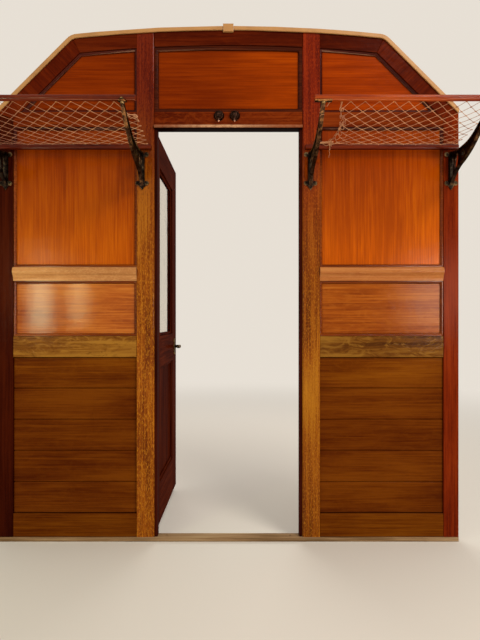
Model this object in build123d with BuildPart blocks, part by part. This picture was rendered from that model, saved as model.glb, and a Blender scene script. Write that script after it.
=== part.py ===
# Saloon end bulkhead of a railway coach: a framed and panelled wooden partition with
# a doorway, a hinged panelled door that stands open and two net luggage racks.
#
# Millimetres. X runs across the coach, Y from the saloon through the doorway, Z is up.
# The origin is the middle of the underside of the sill, which is the mount.
# Heights are measured up from the floor and depths back from the saloon face.

import os
from math import cos, radians, sin, sqrt

from build123d import *

os.makedirs("parts", exist_ok=True)

# Overall size of the framed wall
wall_thickness = 45.0
half_width = 1110.0
crown_above_header = 394.0
crown_radius = 7100.0
shoulder_x = 750.0
shoulder_radius = 60.0
frame_width = 72.0

# Sill, let into the floor under the floor covering
sill_height = 22.0
sill_screw_radius = 5.0
sill_screw_spacing = 600.0

# Doorway
doorway_half_width = 343.0
doorway_height = 1968.0
lining_thickness = 14.0
lining_setback = 8.0
door_post_width = 85.0
post_round = 9.0

# Header over the doorway, with the mid rails of the side bays beside it
header_height = 82.0
mid_rail_height = 72.0

# Rails lower down across the side bays, as heights above the floor
waist_rail_low = 1235.0
waist_rail_top = 1302.0
dado_rail_low = 867.0
dado_rail_top = 968.0
skirting_top = 112.0
board_count = 5
board_gap = 0.3
board_chamfer = 4.0

# Depths from the saloon face, and the eased edges that leave a fine V at each joint
edge_chamfer = 1.5
rail_setback = 2.0
rail_thickness = 41.0
panel_setback = 17.0
panel_thickness = 10.0
board_setback = 12.0
board_thickness = 16.0
header_nose = 10.0
header_nose_height = 20.0

# Section of the waist rail: a nose that stands out over a cove
waist_nose = 11.0
waist_nose_round = 6.0
waist_nose_fall = 4.0
waist_nose_middle = 16.0
waist_nose_foot = 30.0
waist_cove_middle = 18.0
waist_cove_depth = 1.5

# Beads round the panels and along the roof line
side_bead_width = 13.0
centre_bead_width = 20.0
bead_depth = 11.0
bead_bevel = 7.0
cornice_reach = 15.0
cornice_lap = 4.0
cornice_proud = 9.0
ridge_block_width = 50.0
ridge_block_lap = 13.0
ridge_block_rise = 24.0
ridge_block_proud = 13.0
ridge_gap = 0.5

# Two tumbler switches on the header, each a stepped dome with a knobbed lever
switch_places = (-45.0, 31.0)
switch_below_header_top = 20.0
switch_ribs = 24
switch_dome = (
    # radius, distances out from the header
    (25.0, 0.0, 9.0),
    (22.0, 9.0, 16.0),
    (13.0, 16.0, 23.0),
)
switch_lever_root = 14.0
switch_lever_angle = 62.0
switch_lever_sides = 8
switch_lever = (
    # radius, distances along the lever
    (3.0, 0.0, 37.0),
    (5.0, 37.0, 46.0),
)

# Luggage racks
rack_reach = 400.0
rack_rail_radius = 12.5
rail_below_cant = 103.2
rack_rail_inner_end = 360.0
rack_outer_clear = 6.0
rail_end_chamfer = 2.0
batten_inner_end = 370.0
batten_below_rail = 76.0
batten_height = 22.0
batten_depth = 20.0
batten_chamfer = 3.0
net_drop = 6.0
net_lap = 10.0
net_sag = 9.0
net_thickness = 5.0
soft_gap = 0.3
gather_radius = 7.0
gather_overlap = 20.0
gather_from_batten_end = 10.0

# Rack brackets: a plate with lobed ends, an openwork arm and a saddle under the rail
bracket_outer_inset = 38.0
bracket_below_rail = 249.0
arm_thickness = 16.0
arm_rim = 8.0
web_thickness = 6.0
boss_radius = 20.0
boss_thickness = 12.0
boss_hole_radius = 11.0
small_round_sides = 12
saddle_wall = 4.0
saddle_back_angle = 40.0
saddle_front_angle = 52.0
leaf_front_angle = 84.0
leaf_rise = 16.0
neck_knob_radius = 10.0
neck_knob_length = 9.0
plate_width = 24.0
plate_thickness = 6.0
plate_low_below_rail = 237.0
plate_top_below_rail = 99.0
plate_point = 33.0
lobe_radius = 11.0
lobe_spread = 21.0

racks = (
    # side, sign, inner bracket, its saddle's length, is it a leaf, inner end of the net
    ("left", -1, 415.0, 36.0, True, 384.0),
    ("right", 1, 396.0, 69.0, False, 472.0),
)
outer_saddle_length = 62.0

# Door leaf
leaf_width = 698.0
leaf_thickness = 38.0
leaf_low = 12.0
leaf_past_doorway = 4.0
hinge_stile_width = 92.0
lock_stile_width = 150.0
door_top_rail_width = 144.0
lock_rail_low = 806.0
lock_rail_top = 965.0
bottom_rail_top = 215.0
glass_thickness = 6.0
door_panel_thickness = 12.0
door_bead_width = 14.0
door_bead_depth = 8.0

# Door hinges and furniture
hinge_heights = (200.0, 885.0, 1780.0)
hinge_length = 100.0
knuckle_radius = 6.0
knuckle_count = 3
knuckle_gap = 0.4
hinge_plate_width = 30.0
hinge_plate_thickness = 2.2
pin_x = -357.0
pin_clear_of_wall = 7.0
leaf_back_from_pin = 9.0
leaf_face_from_pin = 2.0
hinge_plate_gap = 1.0
handle_height = 884.0
handle_backset = 70.0
handle_stand_off = 34.0
handle_length = 96.0
handle_bar_height = 16.0
handle_bar_thickness = 10.0
handle_boss_radius = 9.0
handle_past_boss = 3.0
handle_plate_width = 44.0
handle_plate_height = 96.0
handle_plate_thickness = 4.0
keeper_gap = 7.0
keeper_width = 26.0
keeper_depth = 30.0
keeper_height = 58.0
keeper_wall = 3.0

# Derived places
front_face = -wall_thickness / 2
back_face = wall_thickness / 2
post_inner = doorway_half_width + lining_thickness
post_outer = post_inner + door_post_width
bay_outer = half_width - frame_width
header_top = doorway_height + header_height
mid_rail_low = header_top - mid_rail_height
crown_height = header_top + crown_above_header
crown_centre = crown_height - crown_radius
shoulder_height = crown_centre + sqrt(crown_radius**2 - shoulder_x**2)
side_height = shoulder_height - (half_width - shoulder_x)
above = sill_height + crown_height + frame_width
rack_rail_height = side_height - rail_below_cant
rack_outer_end = half_width - rack_outer_clear
bracket_outer_x = half_width - bracket_outer_inset
batten_low = rack_rail_height - batten_below_rail
bracket_foot = rack_rail_height - bracket_below_rail
plate_low = rack_rail_height - plate_low_below_rail
plate_top = rack_rail_height - plate_top_below_rail
leaf_top = doorway_height + leaf_past_doorway
door_top_rail_low = leaf_top - door_top_rail_width
pin_y = back_face + pin_clear_of_wall
leaf_start_y = pin_y + leaf_back_from_pin
leaf_face_x = pin_x + leaf_face_from_pin

sides = (("left", -1), ("right", 1))


def finish(part, name):
    part.part.label = name
    export_step(part.part, f"parts/{name}.step")


def level(height):
    """Z of a height above the floor."""
    return sill_height + height


def behind(depth):
    """Y of a depth behind the saloon face."""
    return front_face + depth


def wall_plane(depth):
    """Sketch plane across the wall: extruding from it comes towards the saloon."""
    return Plane.XZ.offset(-behind(depth))


def box_between(x_low, x_high, y_low, y_high, z_low, z_high, mode=Mode.ADD):
    with Locations(((x_low + x_high) / 2, (y_low + y_high) / 2, (z_low + z_high) / 2)):
        Box(x_high - x_low, y_high - y_low, z_high - z_low, mode=mode)


def roof_line(base):
    """Outline of the whole wall: arched crown, sloping shoulders, straight sides to a base."""
    with BuildLine() as outline:
        ThreePointArc(
            (-shoulder_x, level(shoulder_height)),
            (0, level(crown_height)),
            (shoulder_x, level(shoulder_height)),
        )
        Polyline(
            (shoulder_x, level(shoulder_height)),
            (half_width, level(side_height)),
            (half_width, level(base)),
            (-half_width, level(base)),
            (-half_width, level(side_height)),
            (-shoulder_x, level(shoulder_height)),
        )
    return outline.line


# The whole wall and what lies inside its frame, as flat shapes
with BuildSketch() as wall_shape:
    add(roof_line(0))
    make_face()
    fillet(
        wall_shape.vertices().filter_by(lambda v: abs(abs(v.X) - shoulder_x) < 1 and v.Y > level(header_top)),
        shoulder_radius,
    )

with BuildSketch() as frame_inside:
    add(roof_line(-frame_width))
    make_face()
    offset(amount=-frame_width, kind=Kind.INTERSECTION)

# Inner corners of the shoulder and of the side, where the rails of the frame are mitred.
# The cant runs at 45 degrees, so along its inner line the place across and the height
# add up to the same sum everywhere.
cant_sum = half_width + side_height - frame_width * sqrt(2)
inner_radius = crown_radius - frame_width
above_centre = cant_sum - crown_centre
inner_shoulder_x = (above_centre - sqrt(2 * inner_radius**2 - above_centre**2)) / 2
inner_shoulder_height = cant_sum - inner_shoulder_x
inner_side_height = cant_sum - bay_outer

# Sill under the whole wall, with holes for its screws
with BuildPart() as sill:
    box_between(-half_width, half_width, front_face, back_face, 0, sill_height)
    with Locations((-sill_screw_spacing / 2, 0, sill_height), (sill_screw_spacing / 2, 0, sill_height)):
        Hole(radius=sill_screw_radius)
finish(sill, "sill")


# Door posts run from the sill to the roof line, rounded towards the doorway
for side, sign in sides:
    with BuildPart() as door_post:
        with BuildSketch(wall_plane(wall_thickness)):
            add(wall_shape.sketch_local)
            with Locations((sign * (post_inner + post_outer) / 2, level(crown_height))):
                Rectangle(door_post_width, 2 * crown_height, mode=Mode.INTERSECT)
        extrude(amount=wall_thickness)
        doorway_edge = door_post.edges().filter_by(Axis.Z).sort_by(
            lambda e: abs(e.center().X) + e.center().Y
        )[0]
        fillet(doorway_edge, post_round)
        bay_edge = door_post.faces().sort_by(Axis.Y)[0].edges().filter_by(Axis.Z).sort_by(
            lambda e: abs(e.center().X)
        )[-1]
        chamfer(bay_edge, edge_chamfer)
    finish(door_post, f"door_post_{side}")


def frame_member(corners, name):
    """A piece of the outer frame: what a region of corner points cuts from the rim."""
    with BuildSketch() as region:
        with BuildLine():
            Polyline(*corners, close=True)
        make_face()
    with BuildPart() as member:
        with BuildSketch(wall_plane(wall_thickness)):
            add(wall_shape.sketch_local)
            add(frame_inside.sketch_local, mode=Mode.SUBTRACT)
            add(region.sketch_local, mode=Mode.INTERSECT)
        extrude(amount=wall_thickness)
        chamfer(member.faces().sort_by(Axis.Y)[0].edges(), edge_chamfer)
    finish(member, name)


frame_member(
    [
        (-post_inner, level(header_top)),
        (post_inner, level(header_top)),
        (post_inner, above),
        (-post_inner, above),
    ],
    "centre_top_rail",
)
for side, sign in sides:
    shoulder_in = (sign * inner_shoulder_x, level(inner_shoulder_height))
    shoulder_out = (
        sign * (2 * shoulder_x - inner_shoulder_x),
        level(2 * shoulder_height - inner_shoulder_height),
    )
    side_out = (sign * half_width, level(side_height))
    side_in = (sign * bay_outer, level(inner_side_height))
    far_corner = (sign * (half_width + frame_width), above)
    foot_out = (sign * half_width, level(0))
    foot_in = (sign * bay_outer, level(0))
    frame_member(
        [(sign * post_outer, level(header_top)), shoulder_in, shoulder_out, (sign * post_outer, above)],
        f"top_rail_{side}",
    )
    frame_member([shoulder_in, shoulder_out, far_corner, side_out, side_in], f"cant_rail_{side}")
    frame_member([side_in, side_out, foot_out, foot_in], f"corner_post_{side}")


def bay_shape(sign, low, top):
    """What a side bay holds between two heights, cut by the sloping shoulder."""
    with BuildSketch() as bay:
        add(frame_inside.sketch_local)
        with Locations((sign * (post_outer + bay_outer) / 2, (level(low) + level(top)) / 2)):
            Rectangle(bay_outer - post_outer, top - low, mode=Mode.INTERSECT)
    return bay.sketch_local


def bay_slab(sign, low, top, depth, thickness, eased, name):
    with BuildPart() as slab:
        with BuildSketch(wall_plane(depth + thickness)):
            add(bay_shape(sign, low, top))
        extrude(amount=thickness)
        if eased:
            chamfer(slab.faces().sort_by(Axis.Y)[0].edges(), edge_chamfer)
    finish(slab, name)


def bead_ring(shape, width):
    """A frame that lies in a panel's recess, bevelled towards the panel."""
    with BuildPart() as ring:
        with BuildSketch(wall_plane(panel_setback)):
            add(shape)
            offset(shape, amount=-width, kind=Kind.INTERSECTION, mode=Mode.SUBTRACT)
        extrude(amount=bead_depth)
        inner_loop = ring.faces().sort_by(Axis.Y)[0].inner_wires()[0]
        chamfer(inner_loop.edges(), bead_bevel)
    return ring.part


# Side bays: rails, panels, boards and skirting
plain_rails = (
    # name, low, top
    ("mid_rail", mid_rail_low, header_top),
    ("dado_rail", dado_rail_low, dado_rail_top),
    ("skirting", 0.0, skirting_top),
)
panels = (
    # name, low, top
    ("upper_panel", header_top, crown_height),
    ("main_panel", waist_rail_top, mid_rail_low),
    ("waist_panel", dado_rail_top, waist_rail_low),
)

for side, sign in sides:
    for name, low, top in plain_rails:
        bay_slab(sign, low, top, rail_setback, rail_thickness, True, f"{name}_{side}")
    for name, low, top in panels:
        bay_slab(sign, low, top, panel_setback, panel_thickness, False, f"{name}_{side}")

    with BuildPart() as beads:
        for name, low, top in panels:
            add(bead_ring(bay_shape(sign, low, top), side_bead_width))
    finish(beads, f"panel_beads_{side}")

    # Waist rail with a rounded nose that stands out over a cove
    nose_start = (behind(-waist_nose + waist_nose_round), level(waist_rail_top - waist_nose_fall))
    nose_tip = (behind(-waist_nose), level(waist_rail_top - waist_nose_middle))
    nose_end = (behind(-waist_nose + waist_nose_round), level(waist_rail_low + waist_nose_foot))
    cove_tip = (behind(rail_setback - waist_cove_depth), level(waist_rail_low + waist_cove_middle))
    with BuildPart() as waist_rail:
        with BuildSketch(Plane.YZ.offset(min(sign * post_outer, sign * bay_outer))):
            with BuildLine():
                Polyline(
                    (behind(rail_setback), level(waist_rail_low)),
                    (behind(rail_setback + rail_thickness), level(waist_rail_low)),
                    (behind(rail_setback + rail_thickness), level(waist_rail_top)),
                    (behind(rail_setback), level(waist_rail_top)),
                    nose_start,
                )
                ThreePointArc(nose_start, nose_tip, nose_end)
                ThreePointArc(nose_end, cove_tip, (behind(rail_setback), level(waist_rail_low)))
            make_face()
        extrude(amount=bay_outer - post_outer)
    finish(waist_rail, f"waist_rail_{side}")

    # Horizontal boards below the dado, each with chamfered long edges that meet in a V
    board_pitch = (dado_rail_low - skirting_top) / board_count
    with BuildPart() as boards:
        for i in range(board_count):
            low = skirting_top + i * board_pitch + board_gap / 2
            with BuildSketch(Plane.YZ.offset(min(sign * post_outer, sign * bay_outer))):
                with BuildLine():
                    Polyline(
                        (behind(board_setback + board_thickness), level(low)),
                        (behind(board_setback + board_thickness), level(low + board_pitch - board_gap)),
                        (behind(board_setback + board_chamfer), level(low + board_pitch - board_gap)),
                        (behind(board_setback), level(low + board_pitch - board_gap - board_chamfer)),
                        (behind(board_setback), level(low + board_chamfer)),
                        (behind(board_setback + board_chamfer), level(low)),
                        close=True,
                    )
                make_face()
            extrude(amount=bay_outer - post_outer)
    finish(boards, f"lower_boards_{side}")

# Door header, with a rounded nosing along its lower edge
with BuildPart() as door_header:
    with BuildSketch(Plane.YZ.offset(-post_inner)):
        with BuildLine():
            Polyline(
                (behind(-header_nose + header_nose_height / 2), level(doorway_height)),
                (behind(wall_thickness), level(doorway_height)),
                (behind(wall_thickness), level(header_top)),
                (behind(rail_setback), level(header_top)),
                (behind(rail_setback), level(doorway_height + header_nose_height)),
                (behind(-header_nose + header_nose_height / 2), level(doorway_height + header_nose_height)),
            )
            ThreePointArc(
                (behind(-header_nose + header_nose_height / 2), level(doorway_height + header_nose_height)),
                (behind(-header_nose), level(doorway_height + header_nose_height / 2)),
                (behind(-header_nose + header_nose_height / 2), level(doorway_height)),
            )
        make_face()
    extrude(amount=2 * post_inner)
finish(door_header, "door_header")

# Centre panel over the doorway
with BuildSketch() as centre_shape:
    add(frame_inside.sketch_local)
    with Locations((0, (level(header_top) + above) / 2)):
        Rectangle(2 * post_inner, above - level(header_top), mode=Mode.INTERSECT)

with BuildPart() as centre_panel:
    with BuildSketch(wall_plane(panel_setback + panel_thickness)):
        add(centre_shape.sketch_local)
    extrude(amount=panel_thickness)
finish(centre_panel, "centre_panel")

with BuildPart() as centre_bead:
    add(bead_ring(centre_shape.sketch_local, centre_bead_width))
finish(centre_bead, "centre_bead")

# Thin linings of the doorway, which are also the door's stops
with BuildPart() as door_linings:
    for side, sign in sides:
        x_near = sign * doorway_half_width
        x_far = sign * post_inner
        box_between(
            min(x_near, x_far),
            max(x_near, x_far),
            behind(lining_setback),
            back_face,
            level(0),
            level(doorway_height),
        )
finish(door_linings, "door_linings")

# Bead on the saloon face along the roof line, reaching past the wall's edge to hide the
# joint with the ceiling; the end block of the ridge batten breaks it in the middle
with BuildPart() as cornice_bead:
    with BuildSketch(wall_plane(0)):
        offset(wall_shape.sketch_local, amount=cornice_reach, kind=Kind.INTERSECTION)
        offset(wall_shape.sketch_local, amount=-cornice_lap, kind=Kind.INTERSECTION, mode=Mode.SUBTRACT)
        with Locations((0, (level(side_height) + above) / 2)):
            Rectangle(2 * half_width, above - level(side_height), mode=Mode.INTERSECT)
        with Locations((0, level(crown_height))):
            Rectangle(ridge_block_width + 2 * ridge_gap, 4 * cornice_reach, mode=Mode.SUBTRACT)
    extrude(amount=cornice_proud)
finish(cornice_bead, "cornice_bead")

with BuildPart() as ridge_block:
    with BuildSketch(wall_plane(0)):
        with Locations((0, level(crown_height + (ridge_block_rise - ridge_block_lap) / 2))):
            Rectangle(ridge_block_width, ridge_block_rise + ridge_block_lap)
    extrude(amount=ridge_block_proud)
    chamfer(ridge_block.faces().sort_by(Axis.Y)[0].edges(), edge_chamfer)
finish(ridge_block, "ridge_block")


def stepped_rod(start, way, side_count, steps):
    """A many-sided rod; each of its steps is a radius and the distances where it starts and ends."""
    with BuildPart() as rod:
        for radius, near, far in steps:
            with BuildSketch(Plane(origin=start + way * near, z_dir=way)):
                RegularPolygon(radius, side_count)
            extrude(amount=far - near)
    return rod.part


# Two tumbler switches side by side on the header's face, their levers pointing down and out
switch_height = header_top - switch_below_header_top
lean = radians(switch_lever_angle)
with BuildPart() as light_switches:
    for x in switch_places:
        on_header = Vector(x, behind(rail_setback), level(switch_height))
        lever_root = Vector(x, behind(rail_setback - switch_lever_root), level(switch_height))
        down_and_out = Vector(0, -cos(lean), -sin(lean))
        add(stepped_rod(on_header, Vector(0, -1, 0), switch_ribs, switch_dome))
        add(stepped_rod(lever_root, down_and_out, switch_lever_sides, switch_lever))
finish(light_switches, "light_switches")


def out(reach, height):
    """A point of a rack's side view: distance out from the wall, height above the floor."""
    return (behind(-reach), level(height))


bracket_top = rack_rail_height - rack_rail_radius - 0.75 * saddle_wall
bracket_rise = bracket_top - bracket_foot

# Side view of a bracket: reach as a share of the rack's, rise as a share of the bracket's
lower_edge = (
    # reach, rise
    (0.015, 0.00),
    (0.155, 0.20),
    (0.300, 0.30),
    (0.540, 0.43),
    (0.750, 0.63),
    (0.910, 0.80),
    (1.018, 1.00),
)
upper_edge = (
    # reach, rise
    (0.982, 1.00),
    (0.885, 0.885),
    (0.750, 0.785),
    (0.570, 0.665),
    (0.375, 0.625),
    (0.180, 0.635),
    (0.015, 0.70),
)
slots = (
    # reach and rise of the foot, wall side, head and rail side
    ((0.043, 0.125), (0.032, 0.36), (0.085, 0.58), (0.098, 0.36)),
    ((0.135, 0.260), (0.140, 0.43), (0.215, 0.570), (0.222, 0.42)),
)
boss_place = (0.362, 0.470)


def bracket_point(reach, rise):
    return out(reach * rack_reach, bracket_foot + rise * bracket_rise)


def saddle_point(angle, radius):
    """A point round the rail's middle: angles from straight down, forwards positive."""
    turn = radians(angle)
    return out(rack_reach + radius * sin(turn), rack_rail_height - radius * cos(turn))


def arm_outline():
    """The arm's side view, as a flat shape."""
    with BuildSketch() as outline:
        with BuildLine():
            for edge in (lower_edge, upper_edge):
                for i in (0, 2, 4):
                    ThreePointArc(*[bracket_point(*edge[i + k]) for k in range(3)])
            Line(bracket_point(*lower_edge[-1]), bracket_point(*upper_edge[0]))
            Line(bracket_point(*upper_edge[-1]), bracket_point(*lower_edge[0]))
        make_face()
    return outline.sketch_local


def rack_bracket(x, saddle_length, leaf, name):
    arm = arm_outline()
    with BuildPart() as bracket:
        # Arm: two rims of full thickness, joined by a thinner web
        with BuildSketch(Plane.YZ.offset(x - arm_thickness / 2)):
            add(arm)
        extrude(amount=arm_thickness)
        for edge_x in (x - arm_thickness / 2, x + web_thickness / 2):
            with BuildSketch(Plane.YZ.offset(edge_x)):
                offset(arm, amount=-arm_rim, kind=Kind.INTERSECTION)
            extrude(amount=(arm_thickness - web_thickness) / 2, mode=Mode.SUBTRACT)
        # Boss
        with BuildSketch(Plane.YZ.offset(x - boss_thickness / 2)):
            with Locations(bracket_point(*boss_place)):
                RegularPolygon(boss_radius, small_round_sides)
        extrude(amount=boss_thickness)
        # Slots like slim leaves, and the hole in the boss
        with BuildSketch(Plane.YZ.offset(x - arm_thickness / 2)):
            for foot, wall_side, head, rail_side in slots:
                with BuildLine():
                    ThreePointArc(bracket_point(*foot), bracket_point(*wall_side), bracket_point(*head))
                    ThreePointArc(bracket_point(*foot), bracket_point(*rail_side), bracket_point(*head))
                make_face()
            with Locations(bracket_point(*boss_place)):
                RegularPolygon(boss_hole_radius, small_round_sides)
        extrude(amount=arm_thickness, mode=Mode.SUBTRACT)
        # Wall plate with lobed ends and a pointed foot
        with BuildSketch(wall_plane(0)):
            with Locations((x, level((plate_low + plate_top) / 2))):
                Rectangle(plate_width, plate_top - plate_low)
            with Locations(
                (x - lobe_spread, level(plate_low)),
                (x + lobe_spread, level(plate_low)),
                (x - lobe_spread, level(plate_top)),
                (x + lobe_spread, level(plate_top)),
            ):
                RegularPolygon(lobe_radius, small_round_sides)
            with BuildLine():
                Polyline(
                    (x - lobe_spread, level(plate_low)),
                    (x, level(plate_low - plate_point)),
                    (x + lobe_spread, level(plate_low)),
                    close=True,
                )
            make_face()
        extrude(amount=plate_thickness)
        # Neck knob and saddle
        with BuildSketch(Plane.XY.offset(level(bracket_top - neck_knob_length))):
            with Locations((x, behind(-rack_reach))):
                RegularPolygon(neck_knob_radius, small_round_sides)
        extrude(amount=neck_knob_length)
        front_angle = leaf_front_angle if leaf else saddle_front_angle
        far = 2 * (rack_rail_radius + saddle_wall)
        with BuildSketch(Plane.YZ.offset(x - saddle_length / 2)):
            with Locations(out(rack_reach, rack_rail_height)):
                Circle(rack_rail_radius + saddle_wall)
            with BuildLine():
                Polyline(
                    saddle_point(0, 0),
                    saddle_point(-saddle_back_angle, far),
                    saddle_point(0, 2 * far),
                    saddle_point(front_angle, far),
                    close=True,
                )
            make_face(mode=Mode.INTERSECT)
            with Locations(out(rack_reach, rack_rail_height)):
                Circle(rack_rail_radius, mode=Mode.SUBTRACT)
        extrude(amount=saddle_length)
        if leaf:
            # The front of the saddle comes to a point, like a gable
            gable_low = rack_rail_height - leaf_rise
            with BuildSketch(wall_plane(-rack_reach)):
                for way in (-1, 1):
                    with BuildLine():
                        Polyline(
                            (x, level(rack_rail_height)),
                            (x + way * saddle_length, level(gable_low - leaf_rise)),
                            (x + way * saddle_length, level(rack_rail_height)),
                            close=True,
                        )
                    make_face()
            extrude(amount=far, mode=Mode.SUBTRACT)
    finish(bracket, name)


for side, sign, inner_x, inner_saddle_length, has_leaf, net_inner_end in racks:
    rack_bracket(sign * inner_x, inner_saddle_length, has_leaf, f"rack_bracket_{side}_inner")
    rack_bracket(sign * bracket_outer_x, outer_saddle_length, False, f"rack_bracket_{side}_outer")

    # Round rail along the front of the rack
    with BuildPart() as rack_rail:
        with BuildSketch(Plane.YZ.offset(min(sign * rack_rail_inner_end, sign * rack_outer_end))):
            with Locations(out(rack_reach, rack_rail_height)):
                Circle(rack_rail_radius)
        extrude(amount=rack_outer_end - rack_rail_inner_end)
        chamfer(rack_rail.edges().filter_by(GeomType.CIRCLE), rail_end_chamfer)
    finish(rack_rail, f"rack_rail_{side}")

    # Batten against the wall, which carries the back edge of the net
    batten_top = batten_low + batten_height
    with BuildPart() as batten:
        box_between(
            min(sign * batten_inner_end, sign * rack_outer_end),
            max(sign * batten_inner_end, sign * rack_outer_end),
            behind(-batten_depth),
            front_face,
            level(batten_low),
            level(batten_top),
        )
        chamfer(batten.faces().sort_by(Axis.Y)[0].edges().filter_by(Axis.X), batten_chamfer)
    finish(batten, f"rack_batten_{side}")

    # Net, a slack sheet from the back of the rail to the top of the batten
    net_front_top = rack_rail_height - net_drop
    net_front = rack_reach - sqrt((rack_rail_radius + soft_gap) ** 2 - net_drop**2)
    net_back = batten_depth - net_lap
    net_back_top = batten_top + soft_gap + net_thickness
    net_middle = ((net_front + net_back) / 2, (net_front_top + net_back_top) / 2 - net_sag)
    with BuildPart() as net:
        with BuildSketch(Plane.YZ.offset(min(sign * net_inner_end, sign * rack_outer_end))):
            with BuildLine():
                ThreePointArc(out(net_front, net_front_top), out(*net_middle), out(net_back, net_back_top))
                ThreePointArc(
                    out(net_front, net_front_top - net_thickness),
                    out(net_middle[0], net_middle[1] - net_thickness),
                    out(net_back, net_back_top - net_thickness),
                )
                Line(out(net_front, net_front_top), out(net_front, net_front_top - net_thickness))
                Line(out(net_back, net_back_top), out(net_back, net_back_top - net_thickness))
            make_face()
        extrude(amount=rack_outer_end - net_inner_end)
        if side == "right":
            # The torn corner is drawn together along the batten
            gather_end = batten_inner_end + gather_from_batten_end
            with BuildSketch(Plane.YZ.offset(gather_end)):
                with Locations(out(batten_depth, batten_top + soft_gap + gather_radius)):
                    Circle(gather_radius)
            extrude(amount=net_inner_end + gather_overlap - gather_end)
    finish(net, f"rack_net_{side}")


# Door leaf, modelled open: it stands back from the wall at a right angle.
# Along is the distance from its hinge edge, deep the depth behind its saloon side.
def leaf_box(along_low, along_high, low, top, deep_low, deep_high, mode=Mode.ADD):
    box_between(
        leaf_face_x - deep_high,
        leaf_face_x - deep_low,
        leaf_start_y + along_low,
        leaf_start_y + along_high,
        level(low),
        level(top),
        mode=mode,
    )


rail_start = hinge_stile_width
rail_end = leaf_width - lock_stile_width
leaf_members = (
    # name, along_low, along_high, low, top
    ("door_hinge_stile", 0.0, rail_start, leaf_low, leaf_top),
    ("door_lock_stile", rail_end, leaf_width, leaf_low, leaf_top),
    ("door_top_rail", rail_start, rail_end, door_top_rail_low, leaf_top),
    ("door_lock_rail", rail_start, rail_end, lock_rail_low, lock_rail_top),
    ("door_bottom_rail", rail_start, rail_end, leaf_low, bottom_rail_top),
)
for name, along_low, along_high, low, top in leaf_members:
    with BuildPart() as member:
        leaf_box(along_low, along_high, low, top, 0, leaf_thickness)
    finish(member, name)

leaf_panels = (
    # name, low, top, thickness
    ("door_glass", lock_rail_top, door_top_rail_low, glass_thickness),
    ("door_lower_panel", bottom_rail_top, lock_rail_low, door_panel_thickness),
)
for name, low, top, thickness in leaf_panels:
    with BuildPart() as leaf_panel:
        middle = leaf_thickness / 2
        leaf_box(rail_start, rail_end, low, top, middle - thickness / 2, middle + thickness / 2)
    finish(leaf_panel, name)

with BuildPart() as door_beads:
    for name, low, top, thickness in leaf_panels:
        panel_face = leaf_thickness / 2 - thickness / 2
        for deep_low in (panel_face - door_bead_depth, leaf_thickness - panel_face):
            with BuildSketch(Plane.YZ.offset(leaf_face_x - deep_low - door_bead_depth)):
                with Locations((leaf_start_y + (rail_start + rail_end) / 2, (level(low) + level(top)) / 2)):
                    Rectangle(rail_end - rail_start, top - low)
                    Rectangle(
                        rail_end - rail_start - 2 * door_bead_width,
                        top - low - 2 * door_bead_width,
                        mode=Mode.SUBTRACT,
                    )
            extrude(amount=door_bead_depth)
finish(door_beads, "door_beads")

# Butt hinges: the knuckles turn on the pin line, even ones on the wall, odd ones on the leaf
knuckle_pitch = hinge_length / knuckle_count


def knuckles(centre_height, first):
    for i in range(first, knuckle_count, 2):
        low = centre_height - hinge_length / 2 + i * knuckle_pitch + knuckle_gap / 2
        yield low, low + knuckle_pitch - knuckle_gap


with BuildPart() as wall_hinges:
    for height in hinge_heights:
        plate_end = pin_x - knuckle_radius - hinge_plate_gap
        box_between(
            plate_end - hinge_plate_width,
            plate_end,
            back_face,
            back_face + hinge_plate_thickness,
            level(height - hinge_length / 2),
            level(height + hinge_length / 2),
        )
        for low, top in knuckles(height, 0):
            box_between(plate_end, pin_x, back_face, back_face + hinge_plate_thickness, level(low), level(top))
            with Locations((pin_x, pin_y, level((low + top) / 2))):
                Cylinder(knuckle_radius, top - low)
finish(wall_hinges, "hinges_wall")

with BuildPart() as leaf_hinges:
    for height in hinge_heights:
        box_between(
            pin_x - hinge_plate_width,
            pin_x,
            leaf_start_y - hinge_plate_thickness,
            leaf_start_y,
            level(height - hinge_length / 2),
            level(height + hinge_length / 2),
        )
        for low, top in knuckles(height, 1):
            box_between(pin_x - hinge_plate_thickness, pin_x, pin_y, leaf_start_y, level(low), level(top))
            with Locations((pin_x, pin_y, level((low + top) / 2))):
                Cylinder(knuckle_radius, top - low)
finish(leaf_hinges, "hinges_door")

# Lever handle on both faces of the lock stile, each on its plate
with BuildPart() as door_handle:
    handle_y = leaf_start_y + leaf_width - handle_backset
    bar_middle_y = handle_y + handle_boss_radius + handle_past_boss - handle_length / 2
    for face_x, way in ((leaf_face_x, 1), (leaf_face_x - leaf_thickness, -1)):
        plate_x = face_x + way * handle_plate_thickness
        box_between(
            min(face_x, plate_x),
            max(face_x, plate_x),
            handle_y - handle_plate_width / 2,
            handle_y + handle_plate_width / 2,
            level(handle_height - handle_plate_height / 2),
            level(handle_height + handle_plate_height / 2),
        )
        with Locations(
            Location((face_x + way * handle_stand_off / 2, handle_y, level(handle_height)), (0, 90, 0))
        ):
            Cylinder(handle_boss_radius, handle_stand_off)
        with BuildSketch(Plane.YZ.offset(face_x + way * handle_stand_off - handle_bar_thickness / 2)):
            with Locations((bar_middle_y, level(handle_height))):
                SlotOverall(handle_length, handle_bar_height)
        extrude(amount=handle_bar_thickness)
finish(door_handle, "door_handle")

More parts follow.
